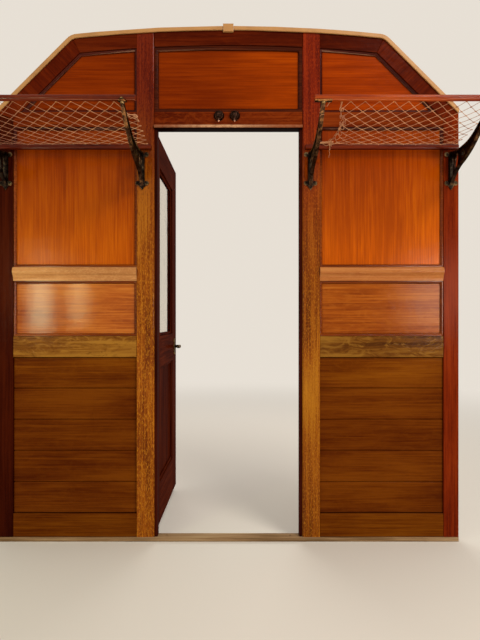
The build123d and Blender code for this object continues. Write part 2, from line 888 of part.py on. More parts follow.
# Keeper for the latch, on the back of the far door post
with BuildPart() as door_keeper:
    keeper_x = pin_x + leaf_back_from_pin + leaf_width + keeper_gap
    box_between(
        keeper_x,
        keeper_x + keeper_width,
        back_face,
        back_face + keeper_depth,
        level(handle_height - keeper_height / 2),
        level(handle_height + keeper_height / 2),
    )
    box_between(
        keeper_x,
        keeper_x + keeper_width - keeper_wall,
        back_face + keeper_wall,
        back_face + keeper_depth - keeper_wall,
        level(handle_height - keeper_height / 2 + keeper_wall),
        level(handle_height + keeper_height / 2 - keeper_wall),
        mode=Mode.SUBTRACT,
    )
finish(door_keeper, "door_keeper")
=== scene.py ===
# Looks of the coach bulkhead: varnished timber, cast brackets, knotted string nets,
# switches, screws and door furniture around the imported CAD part.
#
# Metres. X runs across the coach, Y from the saloon through the doorway, Z is up.

import random
from math import cos, pi, radians, sin, sqrt

import bmesh
import bpy
from mathutils import Matrix, Vector


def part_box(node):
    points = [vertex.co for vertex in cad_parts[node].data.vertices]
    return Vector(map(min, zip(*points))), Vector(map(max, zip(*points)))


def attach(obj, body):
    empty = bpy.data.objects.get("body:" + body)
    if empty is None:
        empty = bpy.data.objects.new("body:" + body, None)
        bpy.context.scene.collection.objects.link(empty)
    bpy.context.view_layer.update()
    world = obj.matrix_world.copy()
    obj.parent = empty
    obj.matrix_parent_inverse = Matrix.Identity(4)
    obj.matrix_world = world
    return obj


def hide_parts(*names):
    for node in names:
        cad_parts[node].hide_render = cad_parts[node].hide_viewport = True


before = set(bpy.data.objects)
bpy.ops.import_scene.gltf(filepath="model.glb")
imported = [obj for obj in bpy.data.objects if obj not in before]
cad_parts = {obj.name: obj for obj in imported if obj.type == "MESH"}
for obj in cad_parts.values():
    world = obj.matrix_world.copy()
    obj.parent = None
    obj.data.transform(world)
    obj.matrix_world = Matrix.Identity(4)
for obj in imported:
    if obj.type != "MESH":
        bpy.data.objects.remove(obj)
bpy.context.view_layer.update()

MM = 0.001
SIDES = (("left", -1), ("right", 1))

# Places taken from the frame
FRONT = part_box("door_post_left")[0].y
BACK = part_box("door_post_left")[1].y
FLOOR_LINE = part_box("door_post_left")[0].z


# Node graphs

class Shader:
    """A material's node graph, with short calls for the nodes that the finishes share."""

    def __init__(self, name, **sockets):
        self.material = bpy.data.materials.new(name)
        self.material.use_nodes = True
        self.tree = self.material.node_tree
        self.tree.nodes.clear()
        self.surface = self.add("ShaderNodeBsdfPrincipled")
        self.output = self.add("ShaderNodeOutputMaterial")
        self.tree.links.new(self.surface.outputs["BSDF"], self.output.inputs["Surface"])
        self.place = self.add("ShaderNodeTexCoord").outputs["Object"]
        for socket_name, value in sockets.items():
            self.set(socket_name.replace("_", " ").title().replace("Ior", "IOR"), value)

    def add(self, kind, **settings):
        node = self.tree.nodes.new(kind)
        for name, value in settings.items():
            setattr(node, name, value)
        return node

    def feed(self, socket, value):
        if isinstance(value, bpy.types.NodeSocket):
            self.tree.links.new(value, socket)
        else:
            socket.default_value = value

    def set(self, name, value):
        self.feed(self.surface.inputs[name], value)

    def stretched(self, factors, offset=(0, 0, 0), slant=0.0):
        """The object's own coordinates, scaled by axis, so that a pattern is drawn out along the
        smaller factor. Slant first turns them about Y, for a grain that runs at an angle."""
        node = self.add("ShaderNodeMapping")
        place = self.place
        if slant:
            turned_place = self.add("ShaderNodeVectorRotate", rotation_type="Y_AXIS")
            self.feed(turned_place.inputs["Vector"], place)
            turned_place.inputs["Angle"].default_value = slant
            place = turned_place.outputs["Vector"]
        self.feed(node.inputs["Vector"], place)
        node.inputs["Scale"].default_value = factors
        node.inputs["Location"].default_value = offset
        return node.outputs["Vector"]

    def noise(self, at, scale, detail=2.0, roughness=0.5, distortion=0.0):
        node = self.add("ShaderNodeTexNoise")
        self.feed(node.inputs["Vector"], at)
        node.inputs["Scale"].default_value = scale
        node.inputs["Detail"].default_value = detail
        node.inputs["Roughness"].default_value = roughness
        node.inputs["Distortion"].default_value = distortion
        return node.outputs["Fac"]

    def span(self, value, low, high, to_low=0.0, to_high=1.0):
        """Value eased from the span low to high over to the span to_low to to_high, and held beyond it."""
        node = self.add("ShaderNodeMapRange", interpolation_type="SMOOTHSTEP")
        socket_names = ("Value", "From Min", "From Max", "To Min", "To Max")
        for socket_name, number in zip(socket_names, (value, low, high, to_low, to_high)):
            self.feed(node.inputs[socket_name], number)
        return node.outputs["Result"]

    def calc(self, operation, a, b=0.0, c=0.0):
        node = self.add("ShaderNodeMath", operation=operation)
        for socket, value in zip(node.inputs, (a, b, c)):
            self.feed(socket, value)
        return node.outputs["Value"]

    def ramp(self, value, stops):
        node = self.add("ShaderNodeValToRGB")
        band = node.color_ramp
        while len(band.elements) < len(stops):
            band.elements.new(0.5)
        for element, (position, colour) in zip(band.elements, stops):
            element.position = position
            element.color = (*colour, 1)
        self.feed(node.inputs["Fac"], value)
        return node.outputs["Color"]

    def mix(self, share, a, b, blend="MIX"):
        node = self.add("ShaderNodeMix", data_type="RGBA", blend_type=blend)
        self.feed(node.inputs[0], share)
        for socket, value in ((node.inputs[6], a), (node.inputs[7], b)):
            self.feed(socket, value if isinstance(value, bpy.types.NodeSocket) else (*value, 1))
        return node.outputs[2]

    def axis(self, name):
        node = self.add("ShaderNodeSeparateXYZ")
        self.feed(node.inputs[0], self.place)
        return node.outputs[name]

    def creases(self, distance):
        """1 in the open, less in corners and joints, where grime and old varnish gather and painted shade
        darkens them.
        """
        node = self.add("ShaderNodeAmbientOcclusion", samples=8, only_local=False)
        node.inputs["Distance"].default_value = distance
        return node.outputs["AO"]

    def bump(self, height, distance):
        node = self.add("ShaderNodeBump")
        node.inputs["Distance"].default_value = distance
        self.feed(node.inputs["Height"], height)
        return node.outputs["Normal"]


# Timber

# The header's nosing: the middle of its painted highlight, the distances from it where the highlight is full
# and where it has faded, the highlight's tone, and the tone of the painted shade on its underside
HIGHLIGHT_MIDDLE = -30 * MM
HIGHLIGHT_FULL = 0.04
HIGHLIGHT_FADED = 0.30
NOSING_HIGHLIGHT = (0.60, 0.32, 0.17)
UNDERSIDE_SHADE = (0.008, 0.0016, 0.0008)

# Shares of a timber's tone; in plain timber part of the bands' share goes over to the streaks
STREAK_SHARE = 0.35
BAND_SHARE = 0.55
PATCH_SHARE = 0.45
PLAIN_SHIFT = 0.3

# Bands in a metre across the grain, for timber with little figure and for timber with more
PLAIN_BANDS = 46.0
FIGURED_BANDS = 12.0
LITTLE_FIGURE = 0.15

# Depth of the grain, how far grime and painted shade reach out of a joint and their tone as a share of the
# dark tone
GRAIN_DEPTH = 0.0003
CREASE = 7 * MM
GRIME_AND_SHADE_SHARE = 0.3
VARNISH_IOR = 1.45


def nosing_highlight_and_shade(shader, colour):
    """A painted highlight along the header's nosing, strongest near the middle and patchy, and painted shade
    on its underside.
    """
    doorway_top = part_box("door_header")[0].z
    height = shader.axis("Z")
    proud = shader.span(shader.axis("Y"), FRONT, FRONT - 3.5 * MM)
    from_below = shader.span(height, doorway_top + 1 * MM, doorway_top + 6 * MM)
    from_above = shader.span(height, doorway_top + 20 * MM, doorway_top + 13 * MM)
    line = shader.calc("MULTIPLY", from_below, from_above)
    from_middle = shader.calc("ABSOLUTE", shader.calc("SUBTRACT", shader.axis("X"), HIGHLIGHT_MIDDLE))
    along = shader.span(from_middle, HIGHLIGHT_FULL, HIGHLIGHT_FADED, 1.0, 0.25)
    patchy = shader.noise(shader.place, 45.0, detail=4.0, roughness=0.65)
    patches = shader.span(patchy, 0.30, 0.60, 0.6, 1.0)
    edge = shader.calc("MULTIPLY", proud, line)
    share = shader.calc("MULTIPLY", edge, shader.calc("MULTIPLY", along, patches))
    # Painted highlight along the nosing
    colour = shader.mix(share, colour, NOSING_HIGHLIGHT)
    # Painted shade on the faces that look down
    facing = shader.add("ShaderNodeSeparateXYZ")
    shader.feed(facing.inputs[0], shader.add("ShaderNodeNewGeometry").outputs["Normal"])
    underside = shader.span(facing.outputs["Z"], -0.6, -0.9)
    return shader.mix(underside, colour, UNDERSIDE_SHADE)


def wood(name, tones, grain, number, figure, fleck, varnish, age_and_light, wear_and_painted_light=None):
    """Varnished timber with streaks, pores and figure along its grain, an axis or an angle in the wall's
    plane. varnish is the share, roughness and ripple of its coat; age_and_light is (axis, from, to, tint), a
    change of tone across the piece, from old varnish, painted light and painted shade; wear_and_painted_light
    is a function that adds a piece's own marks, on the header a painted highlight and painted shade."""
    dark, mid, light = tones
    share, gloss, ripples = varnish
    coat = {"coat_weight": share, "coat_roughness": gloss, "coat_ior": VARNISH_IOR}
    shader = Shader(name, specular_ior_level=0.0, **coat)
    along, slant = ("XYZ".index(grain), 0.0) if isinstance(grain, str) else (0, grain)
    # Each piece shows another part of the pattern
    offset = (number * 1.37, number * 0.71, number * 2.13)

    def drawn_out(ratio):
        factors = [1.0, 1.0, 1.0]
        factors[along] = ratio
        return shader.stretched(factors, offset, slant)

    bands = FIGURED_BANDS if figure > LITTLE_FIGURE else PLAIN_BANDS
    patchy = shader.noise(drawn_out(0.4), 4.0, detail=3.0)
    broad = shader.noise(drawn_out(0.06), bands, detail=4.0, roughness=0.55, distortion=0.5 + figure)
    streak = shader.noise(drawn_out(0.025), 130.0, detail=4.0, roughness=0.65)
    fine = shader.noise(drawn_out(0.04), 700.0, roughness=0.6)
    shift = PLAIN_SHIFT * (1.0 - min(1.0, figure * 2))
    tone = shader.calc("MULTIPLY", patchy, PATCH_SHARE)
    tone = shader.calc("MULTIPLY_ADD", streak, STREAK_SHARE + shift, tone)
    tone = shader.calc("MULTIPLY_ADD", broad, BAND_SHARE - shift, tone)
    colour = shader.ramp(shader.span(tone, 0.48, 0.88), ((0.05, dark), (0.5, mid), (0.95, light)))
    colour = shader.mix(shader.span(fine, 0.60, 0.78, 0.0, 0.35), colour, dark)
    if figure:
        curl = shader.noise(drawn_out(0.4), 24.0, detail=5.0, roughness=0.6, distortion=2.5)
        strength = min(1.0, figure)
        colour = shader.mix(shader.span(curl, 0.46, 0.70, 0.0, strength * 0.8), colour, light)
        colour = shader.mix(shader.span(curl, 0.28, 0.46, strength * 0.6, 0.0), colour, dark)
    if fleck:
        spots = shader.noise(drawn_out(0.3), 260.0, detail=3.0, roughness=0.7)
        colour = shader.mix(shader.span(spots, 0.50, 0.66, 0.0, fleck), colour, light)
        colour = shader.mix(shader.span(spots, 0.32, 0.46, fleck * 0.7, 0.0), colour, dark)
    # Painted light and shade across the piece, with old varnish darker towards the top
    if age_and_light:
        axis, start, end, tint = age_and_light
        colour = shader.mix(shader.span(shader.axis(axis), start, end), colour, tint, "MULTIPLY")
    # A piece's own marks; on the header these are a painted highlight and painted shade along the nosing
    if wear_and_painted_light:
        colour = wear_and_painted_light(shader, colour)
    # Corners and joints darker: partly grime, partly painted shade
    grime_and_shade = tuple(part * GRIME_AND_SHADE_SHARE for part in dark)
    colour = shader.mix(shader.span(shader.creases(CREASE), 0.35, 0.80, 0.8, 0.0), colour, grime_and_shade)
    shader.set("Base Color", colour)
    shader.set("Roughness", shader.span(broad, 0.3, 0.7, 0.38, 0.52))
    shader.set("Normal", shader.bump(shader.calc("MULTIPLY_ADD", fine, 0.5, streak), GRAIN_DEPTH))
    ripple = shader.noise(shader.stretched((1, 1, 1), offset), 30.0, detail=3.0, roughness=0.55)
    shader.set("Coat Normal", shader.bump(shader.calc("MULTIPLY_ADD", ripple, ripples, streak), GRAIN_DEPTH))
    return shader.material


def lighter(tones, factor):
    return tuple(tuple(part * factor for part in tone) for tone in tones)


# Tones of the timbers: dark, mid and light
MAHOGANY = ((0.045, 0.0035, 0.0006), (0.085, 0.0080, 0.0010), (0.140, 0.017, 0.002))
HEADER = ((0.070, 0.006, 0.0008), (0.140, 0.0150, 0.0014), (0.26, 0.042, 0.005))
CENTRE_BEAD = ((0.024, 0.0026, 0.0005), (0.052, 0.0065, 0.0008), (0.10, 0.015, 0.002))
SIDE_BEAD = ((0.110, 0.017, 0.001), (0.180, 0.031, 0.0018), (0.26, 0.055, 0.004))
PANEL = ((0.320, 0.050, 0.0004), (0.437, 0.077, 0.0006), (0.55, 0.117, 0.0012))
UPPER = ((0.150, 0.015, 0.0004), (0.200, 0.022, 0.0006), (0.27, 0.034, 0.0008))
WAIST = ((0.180, 0.030, 0.002), (0.320, 0.072, 0.005), (0.46, 0.140, 0.014))
RAIL = ((0.300, 0.082, 0.018), (0.400, 0.128, 0.030), (0.50, 0.195, 0.056))
# The left waist rail's tones, paler by a painted sheen
RAIL_WITH_PAINTED_SHEEN = ((0.420, 0.165, 0.050), (0.570, 0.250, 0.080), (0.72, 0.370, 0.140))
DADO = ((0.075, 0.018, 0.001), (0.190, 0.060, 0.005), (0.36, 0.155, 0.018))
BOARD = ((0.072, 0.012, 0.0006), (0.126, 0.028, 0.0012), (0.19, 0.052, 0.0024))
POST = ((0.125, 0.021, 0.0008), (0.305, 0.072, 0.0028), (0.52, 0.190, 0.010))
DOOR = ((0.032, 0.0030, 0.0008), (0.062, 0.0075, 0.0018), (0.100, 0.015, 0.004))
LINING = ((0.014, 0.0016, 0.0008), (0.034, 0.0040, 0.0015), (0.060, 0.008, 0.003))
BARE = ((0.16, 0.09, 0.04), (0.30, 0.18, 0.09), (0.42, 0.28, 0.15))

# Varnish: share and roughness of the coat, and how much it ripples
BARE_COAT = (0.0, 0.5, 0.0)
DULL = (0.05, 0.22, 4.0)
GLEAM = (0.22, 0.08, 1.5)
SATIN = (0.16, 0.16, 3.0)
WAXED = (0.36, 0.12, 0.6)
MIRROR = (0.45, 0.04, 0.2)
FRENCH = (0.02, 0.12, 2.0)

# How much paler the upper boards of the right bay are than those of the left, by painted light
RIGHT_BAY_LIT = 1.35

# Change of tone across a piece: axis, from, to, tint. Posts, panels and beads darken towards the top from old
# varnish and painted shade, the lower boards darken towards their foot by painted shade, and the centre panel
# lightens to its right by painted light
POST_AGED_AND_SHADED = ("Z", 1.05, 2.25, (0.36, 0.095, 0.13))
RIGHT_POST_AGED_AND_SHADED = ("Z", 0.95, 2.20, (0.70, 0.18, 0.20))
PANEL_AGED_AND_SHADED = ("Z", 1.33, 2.00, (0.50, 0.33, 0.4))
BEAD_AGED_AND_SHADED = ("Z", 1.75, 1.95, (0.30, 0.14, 0.3))
BOARD_SHADED_LOW = ("Z", 0.84, 0.70, (0.78, 0.68, 0.8))
CENTRE_LIT_RIGHT = ("X", -0.15, 0.28, (1.55, 1.75, 1.2))

# Each node's timber
TIMBER = {
    # node: tones, grain, figure, fleck, varnish, age_and_light
    "sill": (BARE, "X", 0.0, 0.0, BARE_COAT, None),
    "centre_top_rail": (MAHOGANY, "X", 0.3, 0.0, DULL, None),
    "door_header": (HEADER, "X", 0.7, 0.2, DULL, None, nosing_highlight_and_shade),
    "centre_panel": (UPPER, "X", 0.1, 0.0, DULL, CENTRE_LIT_RIGHT),
    "centre_bead": (CENTRE_BEAD, "X", 0.0, 0.0, SATIN, None),
    "door_linings": (LINING, "Z", 0.2, 0.0, DULL, None),
    "door_hinge_stile": (DOOR, "Z", 0.1, 0.0, FRENCH, None),
    "door_lock_stile": (DOOR, "Z", 0.1, 0.0, FRENCH, None),
    "door_top_rail": (DOOR, "Y", 0.1, 0.0, FRENCH, None),
    "door_lock_rail": (DOOR, "Y", 0.1, 0.0, FRENCH, None),
    "door_bottom_rail": (DOOR, "Y", 0.1, 0.0, FRENCH, None),
    "door_lower_panel": (DOOR, "Z", 0.3, 0.0, FRENCH, None),
    "door_beads": (DOOR, "Z", 0.0, 0.0, FRENCH, None),
}
for side, sign in SIDES:
    left = side == "left"
    # The power of pale says how far a piece takes part in the right bay's painted light; the right bay's
    # waist and dado are its darker pieces, as the left waist has a painted sheen and the right dado a painted
    # shadow
    pale = 1.0 if left else RIGHT_BAY_LIT
    # The right door post's tone and top differ from the left's by painted light and shade
    post = POST if left else lighter(POST, 0.85)
    post_age_and_shade = POST_AGED_AND_SHADED if left else RIGHT_POST_AGED_AND_SHADED
    # The left bay's waist panel and rail are paler by a painted sheen
    waist = lighter(WAIST, 1.3 if left else 1.05)
    waist_varnish = MIRROR if left else SATIN
    waist_rail = RAIL_WITH_PAINTED_SHEEN if left else RAIL
    TIMBER.update({
        f"door_post_{side}": (post, "Z", 0.16, 0.85, GLEAM, post_age_and_shade),
        # Corner posts: the left darkened by painted shade, the right lightened by painted light
        f"corner_post_{side}": (lighter(MAHOGANY, pale**4.7 * 0.45), "Z", 0.2, 0.2, DULL, None),
        f"top_rail_{side}": (MAHOGANY, "X", 0.3, 0.0, DULL, None),
        f"cant_rail_{side}": (lighter(MAHOGANY, 1.25), radians(45 * sign), 0.3, 0.0, DULL, None),
        f"mid_rail_{side}": (HEADER, "X", 0.3, 0.1, DULL, None),
        f"dado_rail_{side}": (lighter(DADO, 1 / pale), "X", 1.0, 0.1, SATIN, None),
        f"skirting_{side}": (BOARD, "X", 0.2, 0.0, DULL, None),
        f"upper_panel_{side}": (lighter(UPPER, pale**1.3), "X", 0.1, 0.0, DULL, None),
        f"main_panel_{side}": (lighter(PANEL, sqrt(pale)), "Z", 0.08, 0.0, SATIN, PANEL_AGED_AND_SHADED),
        f"waist_panel_{side}": (waist, "X", 0.25, 0.0, waist_varnish, None),
        f"panel_beads_{side}": (SIDE_BEAD, "X", 0.0, 0.0, WAXED, BEAD_AGED_AND_SHADED),
        f"waist_rail_{side}": (waist_rail, "X", 0.4, 0.35, SATIN, None),
        f"lower_boards_{side}": (lighter(BOARD, 1.15), "X", 0.3, 0.0, DULL, BOARD_SHADED_LOW),
        f"rack_rail_{side}": (lighter(HEADER, pale**1.6), "X", 0.2, 0.0, WAXED, None),
        f"rack_batten_{side}": (lighter(MAHOGANY, pale), "X", 0.1, 0.0, WAXED, None),
    })


# Paint, metals, string and glass

CREAM = (0.52, 0.255, 0.085)
GRIMY_CREAM = (0.36, 0.155, 0.045)
BRUSHED_CREAM = (0.60, 0.34, 0.14)
BRONZE_EDGE_TINT = (0.48, 0.42, 0.36, 1.0)
DARK_BRONZE = ((0.012, 0.008, 0.0065), (0.042, 0.030, 0.021))
BROWN_BRONZE = ((0.020, 0.010, 0.007), (0.060, 0.030, 0.020))
BRASS_WEAR_AND_GLINT = (0.50, 0.31, 0.12)
BRASS = (0.60, 0.40, 0.14)
COPPER = (0.42, 0.24, 0.17)
STRAW = (0.66, 0.33, 0.16)
DUSTY_STRAW = (0.40, 0.17, 0.09)
SHADED_STRAW = (0.27, 0.085, 0.055)
PALE_FIBRE = (0.78, 0.48, 0.26)
GLASS_TINT = (0.62, 0.55, 0.44, 1.0)

# Heights over which a bracket's brassy worn edges grow towards its rail, heights over which a painted brassy
# glint on its edges falls off above its foot, and the least share of both
RAIL_WEAR = (1.76, 1.86)
FOOT_GLINT = (1.722, 1.735)
LEAST_WEAR_AND_GLINT = 0.25

# Distance from the coach's middle over which painted shade darkens the string
SHADE_FROM = 0.55
SHADE_TO = 1.05


def paint_cream():
    shader = Shader("cream_paint", roughness=0.4, specular_ior_level=0.3)
    strokes = shader.noise(shader.stretched((0.1, 1, 1)), 160.0, detail=3.0, roughness=0.6)
    grime = shader.noise(shader.place, 9.0, detail=5.0, roughness=0.65)
    colour = shader.mix(shader.span(grime, 0.45, 0.75, 0.0, 0.6), CREAM, GRIMY_CREAM)
    colour = shader.mix(shader.span(strokes, 0.5, 0.8, 0.0, 0.3), colour, BRUSHED_CREAM)
    shader.set("Base Color", colour)
    shader.set("Normal", shader.bump(strokes, 0.0004))
    return shader.material


def bronze(name, wear_and_glint=0.0, tones=DARK_BRONZE):
    """Dark patinated bronze, brassy where it is worn: a little on all edges and most towards the rail. The
    brass on the edges of the foot is a painted glint.
    """
    dark, light = tones
    shader = Shader(name, metallic=1.0, specular_tint=BRONZE_EDGE_TINT)
    patches = shader.noise(shader.place, 55.0, detail=5.0, roughness=0.65)
    pits = shader.noise(shader.place, 420.0, detail=3.0, roughness=0.6)
    edge = shader.add("ShaderNodeNewGeometry").outputs["Pointiness"]
    wear_and_painted_light = shader.calc("MULTIPLY_ADD", patches, 0.10, edge)
    height = shader.axis("Z")
    near_rail = shader.span(height, *RAIL_WEAR, LEAST_WEAR_AND_GLINT, 1.0)
    # Painted glint: the edges of the foot turn brassy in full
    foot_glint = shader.span(height, *FOOT_GLINT, 1.0, LEAST_WEAR_AND_GLINT)
    wear_and_glint_reach = shader.calc("MAXIMUM", near_rail, foot_glint)
    wear_and_painted_light = shader.span(wear_and_painted_light, 0.578, 0.645, 0.0, shader.calc("MULTIPLY", wear_and_glint_reach, wear_and_glint))
    colour = shader.mix(shader.span(patches, 0.42, 0.68), dark, light)
    # Brass where worn, and a painted glint at the foot
    colour = shader.mix(wear_and_painted_light, colour, BRASS_WEAR_AND_GLINT)
    shader.set("Base Color", colour)
    shader.set("Roughness", shader.span(patches, 0.3, 0.7, 0.22, 0.5))
    shader.set("Normal", shader.bump(shader.calc("MULTIPLY_ADD", pits, 0.5, patches), 0.0022))
    return shader.material


def brass(name, tint):
    """Dull brass or copper with stains and fine scratches."""
    shader = Shader(name, metallic=1.0)
    stains = shader.noise(shader.place, 70.0, detail=5.0, roughness=0.65)
    scratches = shader.noise(shader.stretched((1, 1, 0.08)), 700.0, roughness=0.6)
    dull = tuple(part * 0.35 for part in tint)
    shader.set("Base Color", shader.mix(shader.span(stains, 0.42, 0.68), tint, dull))
    shader.set("Roughness", shader.span(stains, 0.3, 0.7, 0.22, 0.5))
    shader.set("Normal", shader.bump(scratches, 0.0002))
    return shader.material


def string(name, shade_share):
    """Straw-coloured twine, darker where dust has settled and, by a share, with painted shade towards the
    rack's outer end.
    """
    shader = Shader(name, roughness=0.85, specular_ior_level=0.2)
    dust = shader.noise(shader.place, 16.0, detail=4.0, roughness=0.6)
    fibres = shader.noise(shader.place, 1400.0, detail=3.0, roughness=0.6)
    colour = shader.mix(shader.span(dust, 0.40, 0.66), STRAW, DUSTY_STRAW)
    from_middle = shader.calc("ABSOLUTE", shader.axis("X"))
    colour = shader.mix(shader.span(from_middle, SHADE_FROM, SHADE_TO, 0.0, shade_share), colour, SHADED_STRAW)
    colour = shader.mix(shader.span(fibres, 0.5, 0.75, 0.0, 0.4), colour, PALE_FIBRE)
    shader.set("Base Color", colour)
    shader.set("Normal", shader.bump(fibres, 0.0004))
    return shader.material


def glass():
    shader = Shader("clear_glass", transmission_weight=1.0, ior=1.42, base_color=GLASS_TINT)
    smears = shader.noise(shader.stretched((1, 0.4, 1)), 12.0, detail=4.0, roughness=0.6)
    shader.set("Roughness", shader.span(smears, 0.5, 0.8, 0.0, 0.07))
    shader.set("Normal", shader.bump(shader.noise(shader.place, 7.0), 0.0004))
    return shader.material


def dress(obj, material):
    obj.data.materials.clear()
    obj.data.materials.append(material)


for number, (node, timber) in enumerate(sorted(TIMBER.items())):
    tones, grain, *rest = timber
    dress(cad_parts[node], wood(f"wood_{node}", tones, grain, number, *rest))

cream = paint_cream()
dark_bronze = bronze("bronze", 0.6)
plain_bronze = bronze("plain_bronze")
worn_brass = brass("brass", BRASS)
pale_copper = brass("pale_copper", COPPER)
brown_bronze = bronze("brown_bronze", tones=BROWN_BRONZE)
# The left net takes more painted shade than the right
twine = {"left": string("string_left", 0.7), "right": string("string_right", 0.2)}
for node in ("cornice_bead", "ridge_block"):
    dress(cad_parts[node], cream)
dress(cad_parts["door_glass"], glass())
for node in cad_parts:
    if node.startswith(("rack_bracket", "light_switches", "door_handle")):
        dress(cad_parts[node], dark_bronze)
for node in ("hinges_wall", "hinges_door", "door_keeper"):
    dress(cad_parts[node], worn_brass)


# Meshes built from rings of points

def mesh_object(name, points, faces, material, smooth=True):
    mesh = bpy.data.meshes.new(name)
    mesh.from_pydata([tuple(p) for p in points], [], faces)
    mesh.validate()
    if smooth:
        mesh.shade_smooth()
    obj = bpy.data.objects.new(name, mesh)
    bpy.context.scene.collection.objects.link(obj)
    obj.data.materials.append(material)
    return obj


def frames_along(path):
    """Two cross directions at each point of a path, turned as little as possible on the way."""
    count = len(path)
    tangents = [(path[min(i + 1, count - 1)] - path[max(i - 1, 0)]).normalized() for i in range(count)]
    start = Vector((0, 0, 1)) if abs(tangents[0].z) < 0.9 else Vector((1, 0, 0))
    across = (start - tangents[0] * start.dot(tangents[0])).normalized()
    result = []
    for tangent in tangents:
        across = (across - tangent * across.dot(tangent)).normalized()
        result.append((across, tangent.cross(across)))
    return result


def strand(points, faces, path, radius, sides, twist=0.0, lobes=0.0, phase=0.0):
    """Adds a closed tube along a path. With lobes it has the section of two-ply twine, and it turns by
    twist, in radians a metre."""
    first = len(points)
    travelled = 0.0
    for i, (centre, (across, up)) in enumerate(zip(path, frames_along(path))):
        if i:
            travelled += (path[i] - path[i - 1]).length
        turn = phase + twist * travelled
        for k in range(sides):
            angle = 2 * pi * k / sides
            reach = radius * (1 + lobes * cos(2 * (angle - turn)))
            points.append(centre + across * (reach * cos(angle)) + up * (reach * sin(angle)))
    for i in range(len(path) - 1):
        for k in range(sides):
            a = first + i * sides + k
            b = first + i * sides + (k + 1) % sides
            faces.append((a, b, b + sides, a + sides))
    last = first + (len(path) - 1) * sides
    faces.append(tuple(first + k for k in reversed(range(sides))))
    faces.append(tuple(last + k for k in range(sides)))


def smooth_path(corners, steps=6):
    """A Catmull-Rom curve through the corners."""
    padded = [corners[0] * 2 - corners[1], *corners, corners[-1] * 2 - corners[-2]]
    path = []
    for a, b, c, d in zip(padded, padded[1:], padded[2:], padded[3:]):
        for step in range(steps):
            t = step / steps
            straight = (c - a) * t
            square = (a * 2 - b * 5 + c * 4 - d) * t**2
            cube = (b * 3 - a - c * 3 + d) * t**3
            path.append(0.5 * (b * 2 + straight + square + cube))
    path.append(corners[-1])
    return path


# Fittings

BRACKET_PLACES = ("inner", "outer")
FORWARDS = (0, -1, 0)
BACKWARDS = (0, 1, 0)

# A CAD mesh is cleaned before its edges are rounded: points nearer than this are one, faces flatter
# than this are one, and edges sharper than this are rounded
WELD_DISTANCE = 0.02 * MM
FLAT_ANGLE = radians(1.5)
SHARP_ANGLE = radians(35)

# Turned profiles: radius and distance along in millimetres, depth of the ribs
SWITCH_DOME = (
    (24.4, 0.0, 0), (25.0, 0.8, 0), (25.0, 2.4, 0), (24.2, 3.2, 0), (23.6, 3.6, 0), (24.0, 4.2, 0.01),
    (24.2, 5.6, 0.07), (23.8, 8.0, 0.08), (22.8, 11.0, 0.08), (21.2, 13.8, 0.07), (19.4, 15.4, 0.03),
    (18.0, 16.0, 0), (16.4, 16.0, 0), (15.6, 15.2, 0), (15.0, 14.4, 0), (14.0, 14.4, 0), (13.4, 15.4, 0),
    (13.1, 18.2, 0), (12.4, 20.4, 0), (10.8, 21.6, 0), (7.6, 22.4, 0), (4.4, 22.7, 0), (3.8, 22.3, 0),
    (3.2, 21.2, 0), (1.0, 21.0, 0),
)
SWITCH_COLLAR = ((4.4, 15, 0), (4.4, 24, 0), (3.4, 25, 0))
SWITCH_LEVER = (
    (2.5, 12, 0), (2.2, 28, 0), (2.4, 33, 0), (3.6, 35.4, 0), (4.7, 38.2, 0), (5.0, 41.0, 0), (4.6, 43.6, 0),
    (3.2, 45.5, 0), (1.2, 46.2, 0),
)
SWITCH_RADIUS = 25 * MM
SWITCH_PIVOT = 14 * MM
SWITCH_LEAN = radians(62)
SWITCH_RIBS = 24

# Radius of the screws' heads, in millimetres
BRACKET_SCREW = 4.6
WALL_SCREW = 3.6
HANDLE_SCREW = 3.0

# Places of screws in millimetres: rises and sides on a bracket's plate; side and rise on a hinge leaf
PLATE_RISES = (33, 171)
PLATE_SIDES = (-21, 21)
LEAF_SCREWS = ((11, -36), (19, 0), (11, 36))

# A screw's crown is two half discs: half the slot and the crown's edge in shares of the head's radius,
# points round each half, and its rings, as shares of the half disc and heights in millimetres
HALF_SLOT = 0.13
CROWN_EDGE = 0.93
CROWN_POINTS = 9
CROWN_RINGS = ((1.0, 0.6), (0.92, 1.25), (0.55, 1.6))


def rounded(node, body, width, segments=2):
    """A copy of a CAD node with its hard edges rounded over, which stands for the node."""
    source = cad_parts[node]
    edit = bmesh.new()
    edit.from_mesh(source.data)
    bmesh.ops.remove_doubles(edit, verts=edit.verts, dist=WELD_DISTANCE)
    bmesh.ops.dissolve_limit(edit, angle_limit=FLAT_ANGLE, verts=edit.verts, edges=edit.edges)
    mesh = bpy.data.meshes.new(f"{node}_rounded")
    edit.to_mesh(mesh)
    edit.free()
    mesh.shade_smooth()
    obj = bpy.data.objects.new(f"{node}_rounded", mesh)
    bpy.context.scene.collection.objects.link(obj)
    bevel = obj.modifiers.new("edges", "BEVEL")
    bevel.width = width
    bevel.segments = segments
    bevel.limit_method = "ANGLE"
    bevel.angle_limit = SHARP_ANGLE
    obj.modifiers.new("normals", "WEIGHTED_NORMAL").keep_sharp = True
    finished = bpy.data.meshes.new_from_object(obj.evaluated_get(bpy.context.evaluated_depsgraph_get()))
    obj.modifiers.clear()
    obj.data = finished
    dress(obj, source.data.materials[0])
    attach(obj, body)
    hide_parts(node)


